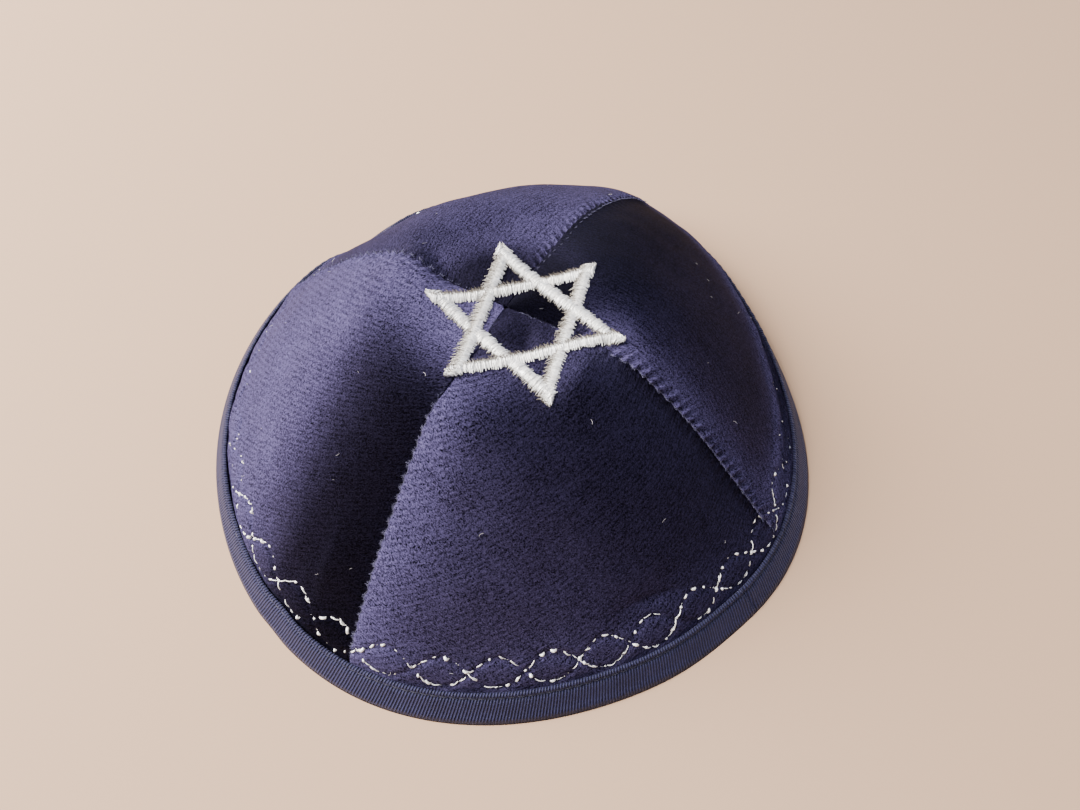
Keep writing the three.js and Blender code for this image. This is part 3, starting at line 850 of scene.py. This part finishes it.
steps = put(tree, "GeometryNodeSetPosition", {"Geometry": steps, "Offset": below})
laid = put(tree, "GeometryNodeInstanceOnPoints",
           {"Points": steps, "Instance": thread, "Rotation": facing, "Scale": size})
toned = put(tree, "GeometryNodeStoreNamedAttribute",
            {"Geometry": laid, "Name": "tone", "Value": random_value(tree, 0.0, 1.0, given["Seed"], 5)},
            data_type="FLOAT", domain="INSTANCE")
real = put(tree, "GeometryNodeRealizeInstances", {"Geometry": toned})
smooth = put(tree, "GeometryNodeSetShadeSmooth", {"Geometry": real})
finished = put(tree, "GeometryNodeSetMaterial",
               {"Geometry": smooth, "Material": given["Material"]})
tree.links.new(finished, result["Geometry"])


def grow(path_piece, tree, **inputs):
    """Runs a node tree on a path or a surface and leaves a plain mesh of what it made."""
    modifier = path_piece.modifiers.new(tree.name, "NODES")
    keys = {s.name: s.identifier for s in tree.interface.items_tree if s.in_out == "INPUT"}
    modifier.node_group = tree
    for name, value in inputs.items():
        modifier[keys[name.replace("_", " ")]] = value
    bpy.context.view_layer.update()
    view = path_piece.evaluated_get(bpy.context.evaluated_depsgraph_get())
    made = bpy.data.meshes.new_from_object(view, preserve_all_data_layers=True,
                                           depsgraph=bpy.context.evaluated_depsgraph_get())
    path_piece.modifiers.remove(modifier)
    old = path_piece.data
    path_piece.data = made
    made.name = path_piece.name
    bpy.data.meshes.remove(old)
    triangles = sum(len(p.vertices) - 2 for p in made.polygons)
    print(path_piece.name, "triangles", triangles)


def stitch_path(name, lines, whites=None, closed=False):
    """A path object from lines of (point, lay, up, span), each an array with one row for each step.

    The whites, one for each line, say how much of a silver thread is spared from the tan of its start, a
    painted shade."""
    points, lay, up, span = (np.concatenate(column) for column in zip(*lines))
    counts = [len(line[0]) for line in lines]
    edges = []
    start = 0
    for count in counts:
        edges += [(start + i, start + i + 1) for i in range(count - 1)]
        if closed:
            edges.append((start + count - 1, start))
        start += count
    piece = mesh_object(name, points, [], edges)
    set_values(piece, "lay", lay)
    set_values(piece, "up", up)
    set_values(piece, "span", span * MM)
    set_values(piece, "white", np.repeat(whites or [1.0] * len(lines), counts))
    return piece


def over(points):
    """The velvet's face straight below these places of the plan, and its normals."""
    found = []
    for x, y in np.asarray(points)[:, :2].tolist():
        hit = SKIN.ray_cast((x, y, 90), (0, 0, -1))
        found.append(hit if hit[0] else SKIN.find_nearest((x, y, 48)))
    return np.array([f[0] for f in found]), np.array([f[1] for f in found])


# %% [markdown]
# ## The hexagram
# The star is satin stitch over a padded core: threads lie side by side across each bar,
# and their ends leave a ragged edge in the pile. Each triangle has three bars, and near a tip
# the threads get shorter where the outline of the other bar cuts them.
# A thread starts on the side that looks to the back left, which is painted tan as painted shade.

# %% Star
STAR_TIP_RADIUS = 24.5
STAR_BAND_WIDTH = 3.7
STAR_TURN = -2
THREAD_BAND = STAR_BAND_WIDTH - 0.7
THREAD_INSET = 0.3
CORE_ACROSS = np.linspace(-0.42, 0.42, 7)
CORE_HEIGHT = 0.66
STAR_CENTRE = np.array([3.3, -2.8])
BACK_LEFT = np.array([math.cos(math.radians(118)), math.sin(math.radians(118))])


def star_bars():
    """Middle line, across direction and thread length of each of the six bars, on the plan."""
    side = STAR_TIP_RADIUS * math.sqrt(3)
    for index in range(6):
        toward = math.radians(90 + STAR_TURN + 60 * index)
        out = np.array([math.cos(toward), math.sin(toward)])
        way = np.array([-out[1], out[0]])
        t = np.linspace(0.15, side - 0.15, 160)
        from_tip = np.minimum(t, side - t)
        width = np.minimum(THREAD_BAND, from_tip * math.sqrt(3))
        from_centre = STAR_TIP_RADIUS / 2 - THREAD_INSET - width / 2
        middle = STAR_CENTRE + out * from_centre[:, None] + way * (t - side / 2)[:, None]
        yield index, middle, out, width, t / side


lines = []
star_whites = []
core_points = []
core_quads = []
for index, middle, out, width, share in star_bars():
    ground, normal = over(middle)
    layer = 0.25 * (index % 2) + 0.15 * smoothstep(share, 0.75, 0.95)
    low, _ = over(middle - out * (width * 0.5)[:, None])
    high, _ = over(middle + out * (width * 0.5)[:, None])
    looks_back = out @ BACK_LEFT
    lay = unit(high - low) * (-1 if looks_back > 0 else 1)
    # Painted shade: bars that look most nearly to the back left or front right get more tan at the start of
    # their threads.
    star_whites.append(0.3 - 0.35 * abs(looks_back))
    base = (low + high) / 2
    base[:, 2] = np.maximum(base[:, 2], ground[:, 2]) + 0.15 + layer
    lines.append((base, lay, normal, np.linalg.norm(high - low, axis=1)))
    start = sum(len(p) for p in core_points)
    strip = base[:, None] + lay[:, None] * (CORE_ACROSS[None, :] * width[:, None])[..., None]
    strip[..., 2] += CORE_HEIGHT * (1 - (CORE_ACROSS / 0.5) ** 2)
    core_points.append(strip.reshape(-1, 3))
    quads = grid_faces(len(base), len(CORE_ACROSS), start)
    core_quads.append(quads if looks_back > 0 else quads[:, ::-1])
star = stitch_path("star_threads", lines, star_whites)
grow(star, stitch_tree, Pitch=0.17 * MM, Thread_Length=STAR_BAND_WIDTH * MM, Thread_Radius=0.11 * MM,
     Bow=0.85 * MM, Length_Change=0.34, Thickness_Change=0.25, Turn_Change=0.14, Sink=0.2 * MM,
     Bends=8, Sides=6, Seed=4, Material=silver)
fringe_lines = [(point - 0.55 * lay, lay, up, width) for point, lay, up, width in lines]
fringe = stitch_path("star_fringe", fringe_lines, star_whites)
grow(fringe, stitch_tree, Pitch=0.3 * MM, Thread_Length=STAR_BAND_WIDTH * MM, Thread_Radius=0.07 * MM,
     Bow=0.7 * MM, Length_Change=0.35, Thickness_Change=0.3, Turn_Change=0.35, Sink=0.2 * MM,
     Bends=6, Sides=4, Seed=14, Material=silver)
core = mesh_object("star_core", np.concatenate(core_points), np.concatenate(core_quads))
core.data.materials.append(silver)
core_size = len(core.data.vertices)
set_values(core, "tone", np.full(core_size, 0.6))
# The core's run goes across each bar, so its back-left side takes the same painted shade in tan.
set_values(core, "run", np.tile(CORE_ACROSS + 0.5, core_size // len(CORE_ACROSS)))
set_values(core, "white", np.repeat(star_whites, core_size // len(star_whites)))
print(core.name, "triangles", 2 * len(core.data.polygons))

# %% [markdown]
# ## The running stitches
# Two silver threads wave in and out along the rim, half a wave apart, so they cross and close a
# chain of scallops. The pile hides part of the thread, so a stitch shows as a bright dash.

# %% Wave stitches
lines = []
for sign in (1, -1):
    azimuths = np.linspace(-180, 180, 1600, endpoint=False)
    curve, lengths = meridians(azimuths)
    place, tangent = along(curve, lengths, wave_height(azimuths, sign)[:, None])
    points = cloth_points(azimuths, place, tangent, np.zeros((len(azimuths), 1)))[:, 0]
    found = [SKIN.find_nearest(p) for p in points.tolist()]
    points = np.array([f[0] for f in found])
    normal = np.array([f[1] for f in found])
    lay = unit(np.roll(points, -1, 0) - np.roll(points, 1, 0))
    from_left = (azimuths - 150 + 180) % 360 - 180
    sunk = np.exp(-(from_left / 36) ** 4) + 0.8 * right_side(azimuths)
    lines.append((points - 0.4 * sunk[:, None] * normal, lay, normal, 1.15 * (1 - 0.8 * sunk)))
wave_lines = [(point, lay, up, 2 * span) for point, lay, up, span in lines]
waves = stitch_path("wave_stitches", wave_lines, closed=True)
grow(waves, stitch_tree, Pitch=2.5 * MM, Thread_Length=2.6 * MM, Thread_Radius=0.12 * MM, Bow=0.42 * MM,
     Length_Change=0.2, Thickness_Change=0.4, Turn_Change=0.2, Sink=1.05 * MM,
     Bends=8, Sides=6, Seed=9, Material=silver)
knots = stitch_path("wave_knots", lines, closed=True)
grow(knots, stitch_tree, Pitch=2.9 * MM, Thread_Length=2.6 * MM, Thread_Radius=0.28 * MM, Bow=0.36 * MM,
     Length_Change=0.5, Thickness_Change=0.5, Turn_Change=0.7, Sink=0.7 * MM,
     Bends=6, Sides=7, Seed=21, Material=silver)

# %% Binding stitches
azimuths = np.linspace(-180, 180, 1200, endpoint=False)
curve, lengths = meridians(azimuths)
place, tangent = along(curve, lengths, np.full((len(azimuths), 1), GROOVE))
points = cloth_points(azimuths, place, tangent, np.full((len(azimuths), 1), 0.6))[:, 0]
above = cloth_points(azimuths, place, tangent, np.full((len(azimuths), 1), 1.6))[:, 0]
lay = unit(np.roll(points, -1, 0) - np.roll(points, 1, 0))
line = (points, lay, above - points, np.full(len(points), 2.0))
seam = stitch_path("binding_stitches", [line], closed=True)
grow(seam, stitch_tree, Pitch=2.3 * MM, Thread_Length=2.0 * MM, Thread_Radius=0.14 * MM, Bow=0.18 * MM,
     Length_Change=0.1, Thickness_Change=0.1, Turn_Change=0.05, Sink=0.05 * MM,
     Bends=5, Sides=5, Seed=3, Material=navy_thread)

# %% [markdown]
# ## Tufts and lint
# Where a gore is turned at its seam, the pile stands out in small tufts over the valley beside it.
# Dark velvet also keeps loose fibres, so a few are strewn over the cloth with a second small tree.

# %% Seam tufts
lines = []
for edge, normal, way, height in seam_edges:
    clump = 0.5 + 0.5 * np.cos(rope_phase(height))
    lines.append((edge + 0.1 * normal, way, normal, 0.4 + 0.9 * clump ** 2))
tufts = stitch_path("seam_tufts", lines)
grow(tufts, stitch_tree, Pitch=0.11 * MM, Thread_Length=1.0 * MM, Thread_Radius=0.045 * MM, Bow=0.12 * MM,
     Length_Change=0.5, Thickness_Change=0.3, Turn_Change=0.9, Sink=0.2 * MM,
     Bends=3, Sides=3, Seed=31, Material=tuft)

# %% Loose fibres
lint_tree = bpy.data.node_groups.new("fibres strewn on cloth", "GeometryNodeTree")
given, result = sockets(
    lint_tree,
    [("Cloth", "Geometry", None), ("Density", "Float", 3000.0), ("Fibre Length", "Float", 0.002),
     ("Fibre Radius", "Float", 0.00004), ("Lift", "Float", 0.0001), ("Seed", "Int", 1),
     ("Material", "Material", None)],
    [("Geometry", "Geometry")])
tree = lint_tree
spots = add(tree, "GeometryNodeDistributePointsOnFaces",
            {"Mesh": given["Cloth"], "Density": given["Density"], "Seed": given["Seed"]})
half = math_node(tree, "MULTIPLY", given["Fibre Length"], 0.5)
bend = math_node(tree, "MULTIPLY", given["Fibre Length"], 0.35)
fibre = put(tree, "GeometryNodeCurveQuadraticBezier", {
    "Resolution": 4, "Start": xyz(tree, opposite(tree, half)), "Middle": xyz(tree, y=bend, z=given["Lift"]),
    "End": xyz(tree, half, z=given["Lift"])})
ring = put(tree, "GeometryNodeCurvePrimitiveCircle",
           {"Resolution": 3, "Radius": given["Fibre Radius"]})
fibre = put(tree, "GeometryNodeCurveToMesh", {"Curve": fibre, "Profile Curve": ring})
spin = xyz(tree, z=random_value(tree, 0.0, 2 * math.pi, given["Seed"], 1))
spin = put(tree, "FunctionNodeEulerToRotation", {0: spin})
facing = put(tree, "FunctionNodeRotateRotation", {"Rotation": spots.outputs["Rotation"], "Rotate By": spin},
             rotation_space="LOCAL")
size = random_value(tree, 0.4, 1.3, given["Seed"], 2)
laid = put(tree, "GeometryNodeInstanceOnPoints", {
    "Points": spots.outputs["Points"], "Instance": fibre, "Rotation": facing,
    "Scale": xyz(tree, size, size, 1.0)})
real = put(tree, "GeometryNodeRealizeInstances", {"Geometry": laid})
finished = put(tree, "GeometryNodeSetMaterial",
               {"Geometry": real, "Material": given["Material"]})
tree.links.new(finished, result["Geometry"])

fibres = mesh_object("loose_lint", np.concatenate(skin_points), np.concatenate(skin_faces))
grow(fibres, lint_tree, Density=1300.0, Fibre_Length=1.1 * MM, Fibre_Radius=0.04 * MM, Lift=0.35 * MM,
     Seed=2, Material=lint)

# %% [markdown]
# ## What belongs to what
# All the pieces ride on the one body of the frame, and the solids they stand for are hidden. The
# stitches, tufts and lint are listed under the finish they stand for, and each gore's flat size is printed.

for name, piece in gores.items():
    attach(piece, "root")
    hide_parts(name)
    width, length, area = cut_sizes[name]
    print(name, "cut from", round(width, 4), "by", round(length, 4), "m, flat area", round(area, 5))
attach(binding, "root")
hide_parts("rim_binding")
SLOTS = {"silver_thread": (star, fringe, core, waves, knots),
         "satin_tape": (seam,),
         "velvet": (tufts, fibres)}
for slot, pieces in SLOTS.items():
    for piece in pieces:
        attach(piece, "root")
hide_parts("star_embroidery")
